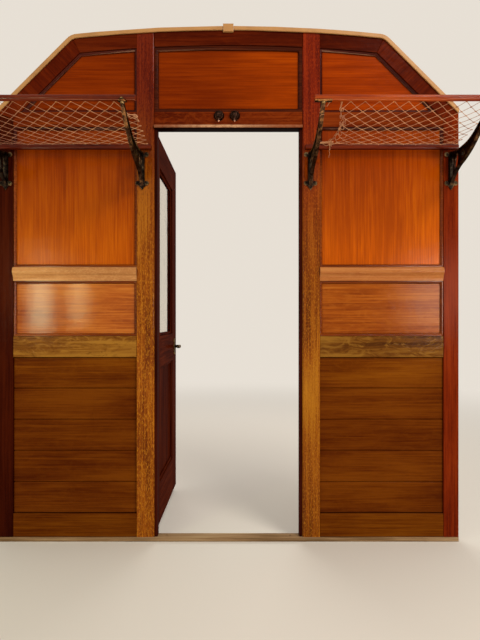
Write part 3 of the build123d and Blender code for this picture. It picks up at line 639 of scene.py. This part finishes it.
def turned(points, faces, origin, way, profile, around, ribs=0):
    """Adds a turned shape: its profile gives radius, distance along and how deep the ribs are."""
    side = way.orthogonal().normalized()
    up = way.cross(side)
    first = len(points)
    for radius, along, depth in profile:
        middle = origin + way * (along * MM)
        for k in range(around):
            angle = 2 * pi * k / around
            reach = radius * MM * (1 - depth * (0.5 - 0.5 * cos(ribs * angle)))
            points.append(middle + side * (reach * cos(angle)) + up * (reach * sin(angle)))
    for i in range(len(profile) - 1):
        for k in range(around):
            a = first + i * around + k
            b = first + i * around + (k + 1) % around
            faces.append((a, b, b + around, a + around))
    faces.append(tuple(first + k for k in reversed(range(around))))
    faces.append(tuple(first + (len(profile) - 1) * around + k for k in range(around)))


def screw_head(points, faces, centre, way, radius, turn):
    """Adds a slotted round head: a rim, a low crown in two halves and the slot between them."""
    side = Matrix.Rotation(turn, 3, way) @ way.orthogonal().normalized()
    up = way.cross(side)
    turned(points, faces, centre, way, ((radius, -0.3, 0), (radius, 0.5, 0), (radius * 0.8, 0.75, 0)), 16)
    for half in (1, -1):
        outline = []
        for k in range(CROWN_POINTS):
            angle = radians(8 + 164 * k / (CROWN_POINTS - 1))
            outline.append((cos(angle) * CROWN_EDGE, max(HALF_SLOT, sin(angle) * CROWN_EDGE)))
        first = len(points)
        for scale, rise in CROWN_RINGS:
            for x, y in outline:
                flat = side * (x * scale) + up * (half * (HALF_SLOT + (y - HALF_SLOT) * scale))
                points.append(centre + flat * (radius * MM) + way * (rise * MM))
        last = first + (len(CROWN_RINGS) - 1) * CROWN_POINTS
        for ring in range(first, last, CROWN_POINTS):
            for k in range(CROWN_POINTS):
                a = ring + k
                b = ring + (k + 1) % CROWN_POINTS
                quad = (a, b, b + CROWN_POINTS, a + CROWN_POINTS)
                faces.append(quad if half > 0 else quad[::-1])
        top = tuple(last + k for k in range(CROWN_POINTS))
        faces.append(top if half > 0 else top[::-1])


def screws(name, body, heads, radius, material):
    """Screw heads as one piece; heads are places and the directions they face."""
    rng = random.Random(name)
    points = []
    faces = []
    for place, way in heads:
        screw_head(points, faces, Vector(place), Vector(way).normalized(), radius, rng.uniform(0, pi))
    obj = mesh_object(name, points, faces, material, smooth=False)
    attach(obj, body)


def switches():
    """Two tumbler switches on the header: ribbed domes, and levers that point down and out."""
    low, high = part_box("light_switches")
    points = []
    faces = []
    lever_points = []
    lever_faces = []
    outwards = Vector(FORWARDS)
    down_and_out = Vector((0, -cos(SWITCH_LEAN), -sin(SWITCH_LEAN)))
    for x in (low.x + SWITCH_RADIUS, high.x - SWITCH_RADIUS):
        middle = Vector((x, high.y, high.z - SWITCH_RADIUS))
        pivot = middle + outwards * SWITCH_PIVOT
        turned(points, faces, middle, outwards, SWITCH_DOME, 8 * SWITCH_RIBS, SWITCH_RIBS)
        turned(points, faces, pivot, down_and_out, SWITCH_COLLAR, 24)
        turned(lever_points, lever_faces, pivot, down_and_out, SWITCH_LEVER, 24)
    dome = mesh_object("switch_domes", points, faces, brown_bronze)
    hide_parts("light_switches")
    lever = mesh_object("switch_levers", lever_points, lever_faces, pale_copper)
    for obj in (dome, lever):
        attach(obj, "wall")


def fastenings():
    """Screws of the brackets, hinges, keeper and handle plates."""
    heads = []
    for side, _ in SIDES:
        for place in BRACKET_PLACES:
            low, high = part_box(f"rack_bracket_{side}_{place}")
            middle = (low.x + high.x) / 2
            for rise in PLATE_RISES:
                for aside in PLATE_SIDES:
                    spot = (middle + aside * MM, FRONT - 6 * MM, low.z + rise * MM)
                    heads.append((spot, FORWARDS))
    screws("bracket_screws", "wall", heads, BRACKET_SCREW, plain_bronze)

    # Three in each hinge leaf, the middle one set aside, and two in the keeper
    heads = []
    low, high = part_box("hinges_wall")
    leaf_middles = (low.z + 50 * MM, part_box("door_handle")[0].z + 49 * MM, high.z - 50 * MM)
    for height in leaf_middles:
        for aside, rise in LEAF_SCREWS:
            heads.append(((low.x + aside * MM, BACK + 2.2 * MM, height + rise * MM), BACKWARDS))
    low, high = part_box("door_keeper")
    for height in (low.z + 9 * MM, high.z - 9 * MM):
        heads.append((((low.x + high.x) / 2, high.y, height), BACKWARDS))
    screws("wall_screws", "wall", heads, WALL_SCREW, worn_brass)

    heads = []
    low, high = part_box("door_handle")
    stile_low, stile_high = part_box("door_lock_stile")
    plate_middle = stile_high.y - 70 * MM
    for x, way in ((stile_high.x + 4 * MM, 1), (stile_low.x - 4 * MM, -1)):
        for height in (low.z + 8 * MM, high.z - 8 * MM):
            heads.append(((x, plate_middle, height), (way, 0, 0)))
    screws("handle_screws", "door", heads, HANDLE_SCREW, plain_bronze)


switches()
fastenings()
for side, _ in SIDES:
    for place in BRACKET_PLACES:
        rounded(f"rack_bracket_{side}_{place}", "wall", width=1.7 * MM)
    rounded(f"rack_batten_{side}", "wall", width=4.0 * MM, segments=3)
    rounded(f"panel_beads_{side}", "wall", width=1.5 * MM)
rounded("centre_bead", "wall", width=1.5 * MM)
rounded("door_beads", "door", width=2.0 * MM)
rounded("cornice_bead", "wall", width=3.5 * MM, segments=3)
rounded("door_handle", "door", width=1.6 * MM)


# Luggage nets

NET_ROWS = 14
NET_COLUMNS = 24
NET_INNER = 392 * MM
NET_OUTER = 1096 * MM
NET_SEEDS = {"left": 3, "right": 5}
BAR_LENGTH = 40.2 * MM
BAR_STEPS = 8
KNOT_SIZE = 1.1 * MM
KNOT_STEPS = 24

# How far a net dips between rail and batten before it hangs, and the most that a bar sags
DIP = 0.010
MOST_SAG = 0.012

# Two-ply string, turned by so many radians a metre, and the rope that it is laid into
STRING_RADIUS = 1.0 * MM
STRING_TWIST = 1500.0
STRING_LOBES = 0.16
ROPE_TWIST = 1200.0
ROPE_PLIES = 3
ROPE_TURNS = 5.5
ROPE_STEPS = 40
COIL_STEPS = 36
FIBRES = 7

# Settling of a net: steps, passes over its bars in each step, the share of speed kept, and the fall
SETTLING_STEPS = 90
SETTLING_PASSES = 4
SPEED_KEPT = 0.8
FALL = Vector((0, 0, -0.00003))

# Staples: how far from the coach's middle the rail's first one is, and half their width
FIRST_STAPLE = 0.46
STAPLE_HALF = Vector((2.6 * MM, 0, 0))

# Places on a rack are x, reach and height: millimetres from the coach's middle, out from the wall and
# above the floor line. These two tables give them for the knots (column, row) that are out of the lattice.
# The torn net's free edge is drawn back and bunched towards the inner end of the batten
PULLED_KNOTS = {
    (2, 0): (473, 386, 1928), (2, 2): (477, 352, 1914), (2, 4): (498, 300, 1906), (2, 6): (503, 250, 1901),
    (2, 8): (501, 199, 1897), (2, 10): (498, 140, 1893), (2, 12): (487, 62, 1894), (2, 14): (455, 16, 1890),
    (4, 14): (492, 14, 1890),
}
# The other net's innermost loop is off the rail: the corner hangs from the bracket's neck and is bunched
HUNG_KNOTS = {
    (0, 0): (412, 362, 1897), (1, 1): (403, 335, 1901), (0, 2): (386, 300, 1911), (0, 4): (375, 281, 1897),
    (0, 6): (376, 227, 1895), (0, 8): (379, 173, 1893), (0, 10): (383, 119, 1890), (0, 12): (385, 66, 1890),
    (0, 14): (388, 14, 1890),
}

# Loose strands down the torn net's free edge, the tail of the rope and a stray end under the rail
TORN_ROUTES = (
    ((474, 394, 1936), (473, 388, 1924), (475, 370, 1919),
     (470, 358, 1917), (474, 346, 1911), (482, 340, 1914)),
    ((476, 352, 1914), (480, 335, 1906), (486, 318, 1903),
     (493, 300, 1899), (500, 282, 1901), (504, 262, 1893)),
    ((500, 300, 1905), (508, 285, 1896), (512, 268, 1889),
     (505, 255, 1886), (498, 262, 1893), (503, 272, 1899)),
    ((508, 262, 1896), (499, 248, 1889), (494, 232, 1890),
     (502, 222, 1897), (509, 236, 1896), (503, 250, 1892)),
    ((503, 250, 1896), (498, 228, 1893), (503, 205, 1892),
     (495, 184, 1893), (500, 160, 1890), (494, 138, 1893)),
    ((502, 244, 1901), (506, 222, 1897), (497, 199, 1899),
     (503, 176, 1893), (495, 150, 1896), (499, 126, 1892)),
    ((500, 140, 1894), (492, 118, 1896), (498, 96, 1891),
     (489, 74, 1896), (484, 52, 1892), (470, 34, 1894)),
    ((502, 150, 1890), (498, 122, 1892), (490, 98, 1896),
     (494, 76, 1890), (480, 56, 1897), (474, 36, 1889)),
)
TAIL = ((484, 27, 1890), (483, 29, 1878), (485, 26, 1864), (482, 25, 1850), (485, 24, 1838), (480, 24, 1828))
STRAY_END = ((430, 392, 1931), (424, 397, 1926), (417, 397, 1918), (411, 394, 1909))

# String wound round the torn net's bracket: turns, radius, and heights of the coil's ends
NECK_COILS = ((3.0, 8.2, 1880, 1912), (1.6, 9.4, 1896, 1914))

# Turns of string that tie the other net's slack corner together and to the bracket's neck
BUNCHED_ROUTES = (
    ((449, 390, 1929), (434, 386, 1919), (420, 380, 1905),
     (412, 364, 1897), (403, 336, 1901), (390, 308, 1909)),
    ((416, 366, 1896), (404, 340, 1900), (393, 318, 1907),
     (385, 304, 1914), (380, 296, 1908), (388, 292, 1903)),
    ((392, 312, 1908), (382, 302, 1914), (378, 292, 1909),
     (386, 290, 1902), (392, 300, 1906), (384, 306, 1912)),
    ((388, 306, 1904), (380, 294, 1905), (376, 288, 1911),
     (383, 296, 1917), (390, 304, 1911), (378, 284, 1903)),
    ((386, 300, 1911), (379, 292, 1904), (374, 284, 1897),
     (378, 276, 1894), (373, 268, 1898)),
)


def rack_frame(side):
    """Centre of the front rail's section, its radius, and the top front edge of the batten."""
    rail_low, rail_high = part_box(f"rack_rail_{side}")
    batten_low, batten_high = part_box(f"rack_batten_{side}")
    rail = Vector((0, (rail_low.y + rail_high.y) / 2, (rail_low.z + rail_high.z) / 2))
    return rail, (rail_high.z - rail_low.z) / 2, Vector((0, batten_low.y, batten_high.z))


def rack_point(sign, x, reach, height):
    return Vector((sign * x * MM, FRONT - reach * MM, FLOOR_LINE + height * MM))


def rack_path(sign, route):
    return smooth_path([rack_point(sign, *place) for place in route])


def lay_string(points, faces, path, phase=0.0, radius=STRING_RADIUS, twist=STRING_TWIST):
    strand(points, faces, path, radius, 8, twist, STRING_LOBES, phase)


def lattice(side, sign, rail, rail_radius, batten):
    """The knots of a net and those of them that are held. They lie on a diamond lattice: where column and
    row are both even or both odd."""
    torn = side == "right"
    half_pitch = (NET_OUTER - NET_INNER) / NET_COLUMNS
    front = Vector((0, rail.y + rail_radius * 0.75, rail.z - rail_radius * 0.75))
    back = Vector((0, batten.y + 7 * MM, batten.z + 2.5 * MM))
    place = {}
    held = set()
    for row in range(NET_ROWS + 1):
        for column in range(row % 2, NET_COLUMNS + 1, 2):
            if torn and column < 2:
                continue
            share = row / NET_ROWS
            spot = front.lerp(back, share)
            spot.x = sign * (NET_INNER + column * half_pitch)
            spot.z -= DIP * sin(pi * share)
            place[column, row] = spot
            if row in (0, NET_ROWS) or column == NET_COLUMNS:
                held.add((column, row))
    moved = PULLED_KNOTS if torn else HUNG_KNOTS
    for knot, spot in moved.items():
        place[knot] = rack_point(sign, *spot)
        held.add(knot)
    return place, held


def settle(place, held, bars):
    """Lets the knots hang. String only pulls: a bar that is too long draws its knots together, a slack
    one leaves them."""
    speed = {knot: Vector() for knot in place}
    for _ in range(SETTLING_STEPS):
        for knot in place:
            if knot not in held:
                speed[knot] = speed[knot] * SPEED_KEPT + FALL
                place[knot] = place[knot] + speed[knot]
        for _ in range(SETTLING_PASSES):
            for a, b, length in bars:
                gap = place[b] - place[a]
                extra = gap.length - length
                if extra > 0:
                    push = gap.normalized() * extra
                    share_a = 0.0 if a in held else (1.0 if b in held else 0.5)
                    share_b = 0.0 if b in held else 1.0 - share_a
                    place[a] = place[a] + push * share_a
                    place[b] = place[b] - push * share_b


def sagging(start, end, length, rng):
    """A bar's path. A flat arc that is longer than its chord by the slack sags by the root of 3/8 of slack
    times chord; it also sways a little to one side."""
    chord = (end - start).length
    slack = max(0.0, length - chord)
    sag = min(MOST_SAG, sqrt(0.375 * slack * max(1e-6, chord)))
    sway = Vector((rng.uniform(-1, 1), rng.uniform(-0.3, 0.3), -1)).normalized() * sag
    shares = [step / BAR_STEPS for step in range(BAR_STEPS + 1)]
    return [start.lerp(end, t) + sway * (4 * t * (1 - t)) for t in shares]


def net(side, sign):
    rail, rail_radius, batten = rack_frame(side)
    rng = random.Random(NET_SEEDS[side])
    place, held = lattice(side, sign, rail, rail_radius, batten)
    bars = []
    for column, row in place:
        for other in ((column + 1, row + 1), (column - 1, row + 1)):
            if other in place:
                bars.append(((column, row), other, BAR_LENGTH * rng.uniform(0.985, 1.02)))
    settle(place, held, bars)

    points = []
    faces = []
    for a, b, length in bars:
        path = sagging(place[a], place[b], length, rng)
        lay_string(points, faces, path, rng.uniform(0, pi))
    for (_, row), knot in place.items():
        tie_knot(points, faces, knot, rng, 1.0 if 0 < row < NET_ROWS else 1.15)
    hooks(side, place, rail, batten)
    if side == "right":
        torn_edge(points, faces, sign, rng)
    else:
        for route in BUNCHED_ROUTES:
            lay_string(points, faces, rack_path(sign, route), rng.uniform(0, pi))

    obj = mesh_object(f"net_{side}", points, faces, twine[side])
    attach(obj, "wall")
    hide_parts(f"rack_net_{side}")


def hooks(side, place, rail, batten):
    """Wire staples that hold the net's loops behind the rail and on top of the batten."""
    points = []
    faces = []
    wide = STAPLE_HALF
    for (_, row), knot in place.items():
        if row == 0 and abs(knot.x) > FIRST_STAPLE:
            inside = Vector((knot.x, rail.y, rail.z))
            root = inside + (knot - inside).normalized() * (8 * MM)
            tip = knot + (knot - inside).normalized() * (2.6 * MM)
        elif row == NET_ROWS:
            root = Vector((knot.x, knot.y, batten.z - 4 * MM))
            tip = Vector((knot.x, knot.y, knot.z + 3.0 * MM))
        else:
            continue
        bend = root.lerp(tip, 0.8)
        path = smooth_path([root - wide, bend - wide, tip, bend + wide, root + wide], 4)
        strand(points, faces, path, 0.8 * MM, 6)
    obj = mesh_object(f"net_hooks_{side}", points, faces, worn_brass)
    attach(obj, "wall")


def tie_knot(points, faces, centre, rng, size):
    """A small hard knot: a closed three-lobed turn of string."""
    scale = KNOT_SIZE * size
    turn = Matrix.Rotation(rng.uniform(0, 2 * pi), 3, "Z") @ Matrix.Rotation(rng.uniform(-0.5, 0.5), 3, "X")
    loop = []
    for i in range(KNOT_STEPS + 1):
        t = 2 * pi * i / KNOT_STEPS
        flat = Vector(((2 + cos(3 * t)) * cos(2 * t), (2 + cos(3 * t)) * sin(2 * t), 1.2 * sin(3 * t)))
        loop.append(centre + turn @ (flat * scale))
    strand(points, faces, loop, STRING_RADIUS * 0.92 * size, 5)


def torn_edge(points, faces, sign, rng):
    """Loose strands of the torn side: loops down the free edge, a rope along the batten and its tail."""
    for route in TORN_ROUTES:
        lay_string(points, faces, rack_path(sign, route), rng.uniform(0, pi))

    # Strands laid round each other along the batten
    for ply in range(ROPE_PLIES):
        path = []
        for i in range(ROPE_STEPS + 1):
            t = i / ROPE_STEPS
            turn = 2 * pi * (ply / ROPE_PLIES + t * ROPE_TURNS)
            spread = (4.6 - 1.8 * t) * MM
            centre = rack_point(sign, 500 - 92 * t, 30 - 8 * t, 1893 - 3 * t)
            path.append(centre + Vector((0, cos(turn) * spread, sin(turn) * spread)))
        lay_string(points, faces, path, ply, STRING_RADIUS * 1.25, ROPE_TWIST)

    # The tail hangs from the rope over the batten's front
    path = rack_path(sign, TAIL)
    lay_string(points, faces, path)
    frayed(points, faces, path[-1], rng)

    # A stray end under the rail, beside the bracket
    lay_string(points, faces, rack_path(sign, STRAY_END), radius=STRING_RADIUS * 1.2)

    # Coils round the bracket's neck; the radius also serves as the angle at which a coil starts
    for turns, radius, low, high in NECK_COILS:
        path = []
        for i in range(COIL_STEPS + 1):
            t = i / COIL_STEPS
            angle = 2 * pi * turns * t + radius
            centre = rack_point(sign, 396, 362 + 18 * t, low + (high - low) * t)
            path.append(centre + Vector((cos(angle) * radius * MM, sin(angle) * radius * 1.5 * MM, 0)))
        lay_string(points, faces, path)


def frayed(points, faces, end, rng):
    """Loose fibres at a cut end of string."""
    for _ in range(FIBRES):
        lean = Vector((rng.uniform(-3, 3), rng.uniform(-2, 2), -rng.uniform(5, 9))) * MM
        path = smooth_path([end + Vector((0, 0, 1 * MM)), end + lean * 0.5, end + lean], 3)
        strand(points, faces, path, 0.3 * MM, 5)


for side, sign in SIDES:
    net(side, sign)


# Floor, light and camera

BACKDROP = (0.80, 0.74, 0.66)
FLOOR_TONE = (0.74, 0.69, 0.62, 1.0)
SKY_TONE = (1.0, 0.96, 0.90, 1)
SKY_STRENGTH = 0.55

# The floor's half width, and the distances over which it runs out into the backdrop
FLOOR_HALF = 30
FLOOR_PLAIN = 1.6
FLOOR_GONE = 6.5

# Two broad lamps, one for the shine on undersides, and four for the patches that windows leave in varnish
LAMPS = (
    # name, place, aim, width, height, watts, tint
    ("overhead", (2.4, -2.7, 4.6), (0.3, 0.0, 1.3), 1.8, 1.0, 90, (1.0, 0.95, 0.88)),
    ("behind", (0.0, 3.4, 3.2), (0.0, 0.0, 1.1), 3.0, 1.6, 55, (1.0, 0.97, 0.93)),
    ("glints", (0.1, -0.65, 0.90), (0.1, -0.79, 1.90), 2.4, 0.35, 34, (1.0, 0.55, 0.28)),
    ("pane_left_near", (-1.52, -1.52, 1.30), (-1.52, 0.0, 1.30), 0.17, 0.66, 5.6, (0.90, 1.0, 0.62)),
    ("pane_left_far", (-1.493, -2.32, 1.30), (-1.493, 0.0, 1.30), 0.12, 0.55, 3.4, (1.0, 0.94, 0.48)),
    ("pane_right_near", (1.62, -1.55, 1.28), (0.0, 0.0, 1.2), 0.42, 0.62, 8, (1.0, 0.92, 0.80)),
    ("pane_right_far", (1.85, -2.35, 1.28), (0.0, 0.0, 1.2), 0.50, 0.62, 9, (1.0, 0.92, 0.80)),
)

# The photograph's viewpoint: metres to the right of the middle, before the wall and above the floor line
EYE_ASIDE = 0.078
EYE_AWAY = 2.45
EYE_HEIGHT = 1.046
LENS = 28.6
SENSOR = 36
SHIFT = -0.007


def studio():
    half = FLOOR_HALF
    corners = [(-half, -half, 0), (half, -half, 0), (half, half, 0), (-half, half, 0)]
    floor = mesh_object("floor", corners, [(0, 1, 2, 3)], pale_floor(), smooth=False)
    sky()

    all_but_glass = bpy.data.collections.new("all_but_glass")
    all_but_glass.objects.link(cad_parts["door_glass"])
    all_but_glass.collection_objects[0].light_linking.link_state = "EXCLUDE"
    for name, place, aim, width, height, watts, tint in LAMPS:
        data = bpy.data.lights.new(name, "AREA")
        data.shape = "RECTANGLE"
        data.size = width
        data.size_y = height
        data.energy = watts
        data.color = tint
        lamp = bpy.data.objects.new(name, data)
        lamp.location = place
        lamp.rotation_euler = (Vector(aim) - Vector(place)).to_track_quat("-Z", "Y").to_euler()
        lamp.visible_camera = False
        # No lamp shows as a patch in or through the door's glass
        lamp.visible_transmission = False
        lamp.light_linking.receiver_collection = all_but_glass
        lamp.visible_glossy = name != "behind"
        # This one gives only the shine that the windows put on the undersides of rails and brackets
        lamp.visible_diffuse = name != "glints"
        bpy.context.scene.collection.objects.link(lamp)


def sky():
    """Even light from all sides, in place of which the camera, reflections and glass see the backdrop."""
    world = bpy.data.worlds.new("studio")
    bpy.context.scene.world = world
    world.use_nodes = True
    tree = world.node_tree
    tree.nodes.clear()
    rays = tree.nodes.new("ShaderNodeLightPath")
    through_pieces = tree.nodes.new("ShaderNodeMath")
    through_pieces.operation = "ADD"
    tree.links.new(rays.outputs["Is Glossy Ray"], through_pieces.inputs[0])
    tree.links.new(rays.outputs["Is Transmission Ray"], through_pieces.inputs[1])
    seen = tree.nodes.new("ShaderNodeMath")
    seen.operation = "ADD"
    tree.links.new(rays.outputs["Is Camera Ray"], seen.inputs[0])
    tree.links.new(through_pieces.outputs[0], seen.inputs[1])
    share = tree.nodes.new("ShaderNodeClamp")
    tree.links.new(seen.outputs[0], share.inputs["Value"])
    light = tree.nodes.new("ShaderNodeBackground")
    light.inputs["Color"].default_value = SKY_TONE
    light.inputs["Strength"].default_value = SKY_STRENGTH
    backdrop = tree.nodes.new("ShaderNodeBackground")
    backdrop.inputs["Color"].default_value = (*BACKDROP, 1)
    both = tree.nodes.new("ShaderNodeMixShader")
    tree.links.new(share.outputs[0], both.inputs[0])
    tree.links.new(light.outputs[0], both.inputs[1])
    tree.links.new(backdrop.outputs[0], both.inputs[2])
    output = tree.nodes.new("ShaderNodeOutputWorld")
    tree.links.new(both.outputs[0], output.inputs["Surface"])


def pale_floor():
    """A pale matt floor that runs out into the backdrop's own tone a few metres away."""
    shader = Shader("pale_floor", base_color=FLOOR_TONE, roughness=0.75, specular_ior_level=0.15)
    glow = shader.add("ShaderNodeEmission")
    glow.inputs["Color"].default_value = (*BACKDROP, 1)
    away = shader.add("ShaderNodeVectorMath", operation="LENGTH")
    shader.feed(away.inputs[0], shader.place)
    rays = shader.add("ShaderNodeLightPath")
    seen = shader.calc("MAXIMUM", rays.outputs["Is Camera Ray"], rays.outputs["Is Glossy Ray"])
    seen = shader.calc("MAXIMUM", seen, rays.outputs["Is Transmission Ray"])
    share = shader.calc("MULTIPLY", seen, shader.span(away.outputs["Value"], FLOOR_PLAIN, FLOOR_GONE))
    both = shader.add("ShaderNodeMixShader")
    shader.feed(both.inputs[0], share)
    shader.feed(both.inputs[1], shader.surface.outputs["BSDF"])
    shader.feed(both.inputs[2], glow.outputs["Emission"])
    shader.feed(shader.output.inputs["Surface"], both.outputs[0])
    return shader.material


def camera():
    """The photograph's viewpoint: seated, a little right of the middle, looking level at the wall."""
    data = bpy.data.cameras.new("camera")
    data.lens = LENS
    data.sensor_width = SENSOR
    data.shift_x = SHIFT
    eye = bpy.data.objects.new("camera", data)
    eye.location = (EYE_ASIDE, FRONT - EYE_AWAY, FLOOR_LINE + EYE_HEIGHT)
    eye.rotation_euler = (radians(90), 0, 0)
    bpy.context.scene.collection.objects.link(eye)
    bpy.context.scene.camera = eye


studio()
camera()
bpy.context.scene.view_settings.view_transform = "Standard"
